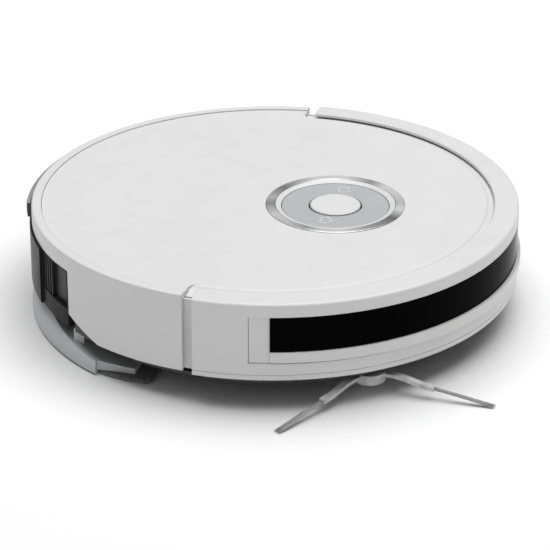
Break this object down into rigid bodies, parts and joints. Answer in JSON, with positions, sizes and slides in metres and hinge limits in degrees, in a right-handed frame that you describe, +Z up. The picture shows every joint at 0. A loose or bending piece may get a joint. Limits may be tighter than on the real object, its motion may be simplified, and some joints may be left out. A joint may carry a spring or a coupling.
{
  "type": "robot vacuum cleaner",
  "caption": "Round white robot vacuum with a sprung front bumper, key cluster, side brush, smoked rear tank and a mop plate with cloth.",
  "frame": {"origin": "on the round body's axis at floor level", "axes": "+Z up, front of the robot towards -Y, its left towards +X"},
  "size_m": [0.3581, 0.3475, 0.076],
  "materials": {
    "white_plastic": "smooth satin white",
    "panel_white": "glossy white",
    "grey_key": "satin light grey",
    "window_black": "gloss black, infrared pass",
    "bezel_black": "matt black",
    "pan_dark": "textured dark grey",
    "chrome_ring": "radially brushed",
    "bevel_white": "satin",
    "icon_grey": "printed, paler than the key",
    "board_green": "solder mask",
    "component_dark": "moulded",
    "battery_wrap": "shrink wrap",
    "steel": "plated",
    "spring_steel": "drawn wire",
    "motor_steel": "rolled can",
    "gear_plastic": "moulded",
    "tyre_rubber": "matt",
    "hub_grey": "satin",
    "caster_white": "satin",
    "brush_plastic": "satin",
    "bristle_dark": "nylon bristles",
    "side_rubber": "soft grey",
    "side_bristle": "nylon bristles",
    "tank_smoke": "smoked, near opaque",
    "tank_inner": "satin",
    "vent_black": "matt",
    "filter_paper": "pleated",
    "flap_rubber": "soft",
    "release_silver": "metallic paint",
    "mop_plate_grey": "satin light grey",
    "mop_cloth_grey": "looped microfibre",
    "lens_dark": "gloss",
    "contact_metal": "plated",
    "fan_grey": "moulded",
    "speaker_black": "pressed"
  },
  "bodies": {
    "chassis": {"lower_pan": "pan_dark", "pan_screws": "steel", "inner_frame": "pan_dark", "upper_shell": "white_plastic", "top_panel": "panel_white", "control_ring": "chrome_ring", "ring_bevel": "bevel_white", "key_carrier": "gear_plastic", "mainboard": "board_green", "board_components": "component_dark", "battery_pack": "battery_wrap", "battery_cover": "pan_dark", "left_well": "gear_plastic", "right_well": "gear_plastic", "brush_bay": "gear_plastic", "brush_gearbox": "gear_plastic", "brush_motor": "motor_steel", "side_brush_gearbox": "gear_plastic", "side_brush_motor": "motor_steel", "bumper_springs": "spring_steel", "bumper_switches": "component_dark", "tank_bay": "gear_plastic", "fan_housing": "fan_grey", "fan_motor": "motor_steel", "speaker": "speaker_black", "cliff_lenses": "lens_dark", "charging_contacts": "contact_metal"},
    "bumper": {"bumper_shell": "white_plastic", "window_bezel": "white_plastic", "bumper_window": "window_black", "bumper_lip": "white_plastic", "bumper_trim": "white_plastic"},
    "power_key": {"power_button": "panel_white"},
    "mode_rocker": {"mode_key": "grey_key", "key_icons": "icon_grey"},
    "left_suspension": {"left_arm": "hub_grey"},
    "right_suspension": {"right_arm": "hub_grey"},
    "left_wheel": {"left_wheel_hub": "hub_grey", "left_tyre": "tyre_rubber"},
    "right_wheel": {"right_wheel_hub": "hub_grey", "right_tyre": "tyre_rubber"},
    "caster_yoke": {"caster_fork": "pan_dark"},
    "caster_roller": {"caster_wheel": "caster_white"},
    "main_brush": {"brush_core": "brush_plastic", "brush_bristles": "bristle_dark"},
    "guard": {"brush_guard": "brush_plastic"},
    "side_brush": {"side_brush_hub": "side_rubber", "side_brush_bristles": "side_bristle", "side_brush_shaft": "steel"},
    "tank": {"tank_body": "tank_smoke", "tank_vents": "vent_black", "tank_lid": "tank_inner", "fill_plug": "flap_rubber", "filter": "filter_paper", "inlet_flap": "flap_rubber", "release_bezel": "bezel_black"},
    "release": {"release_button": "release_silver"},
    "mop": {"mop_plate": "mop_plate_grey", "mop_cloth": "mop_cloth_grey"},
    "fan": {"fan_impeller": "fan_grey"}
  },
  "joints": [
    {"name": "bumper_press", "type": "slide", "parent": "chassis", "child": "bumper", "axis": [0, 1, 0], "range_m": [0, 0.004], "stiffness_N_per_m": 500, "deforming": ["bumper_springs"]},
    {"name": "power_press", "type": "slide", "parent": "chassis", "child": "power_key", "axis": [0, 0, -1], "range_m": [0, 0.0006], "stiffness_N_per_m": 900},
    {"name": "mode_rock", "type": "hinge", "parent": "chassis", "child": "mode_rocker", "pos_m": [0, -0.044, 0.0715], "axis": [0, 1, 0], "range_deg": [-1.2, 1.2], "stiffness_Nm_per_rad": 3},
    {"name": "left_droop", "type": "hinge", "parent": "chassis", "child": "left_suspension", "pos_m": [0.0955, 0.037, 0.044], "axis": [1, 0, 0], "range_deg": [0, 20], "stiffness_Nm_per_rad": 0.2, "springref_deg": 45.84},
    {"name": "right_droop", "type": "hinge", "parent": "chassis", "child": "right_suspension", "pos_m": [-0.0955, 0.037, 0.044], "axis": [1, 0, 0], "range_deg": [0, 20], "stiffness_Nm_per_rad": 0.2, "springref_deg": 45.84},
    {"name": "left_wheel_spin", "type": "hinge", "parent": "left_suspension", "child": "left_wheel", "pos_m": [0.115, 0.009, 0.033], "axis": [1, 0, 0], "continuous": true},
    {"name": "right_wheel_spin", "type": "hinge", "parent": "right_suspension", "child": "right_wheel", "pos_m": [-0.115, 0.009, 0.033], "axis": [1, 0, 0], "continuous": true},
    {"name": "caster_swivel", "type": "hinge", "parent": "chassis", "child": "caster_yoke", "pos_m": [0, -0.116, 0.03], "axis": [0, 0, 1], "continuous": true},
    {"name": "caster_roll", "type": "hinge", "parent": "caster_yoke", "child": "caster_roller", "pos_m": [0, -0.11, 0.014], "axis": [1, 0, 0], "continuous": true},
    {"name": "main_brush_spin", "type": "hinge", "parent": "chassis", "child": "main_brush", "pos_m": [0, 0.008, 0.0195], "axis": [1, 0, 0], "continuous": true},
    {"name": "guard_off", "type": "slide", "parent": "chassis", "child": "guard", "axis": [0, 0, -1], "range_m": [0, 0.05]},
    {"name": "side_brush_spin", "type": "hinge", "parent": "chassis", "child": "side_brush", "pos_m": [-0.1174, -0.0963, 0.012], "axis": [0, 0, 1], "continuous": true},
    {"name": "tank_out", "type": "slide", "parent": "chassis", "child": "tank", "axis": [0, 1, 0], "range_m": [0, 0.16]},
    {"name": "release_press", "type": "slide", "parent": "tank", "child": "release", "axis": [0, -1, 0], "range_m": [0, 0.002], "stiffness_N_per_m": 700},
    {"name": "mop_out", "type": "slide", "parent": "chassis", "child": "mop", "axis": [0, 1, 0], "range_m": [0, 0.14]},
    {"name": "fan_spin", "type": "hinge", "parent": "chassis", "child": "fan", "pos_m": [-0.1, 0.076, 0.046], "axis": [1, 0, 0], "continuous": true}
  ]
}
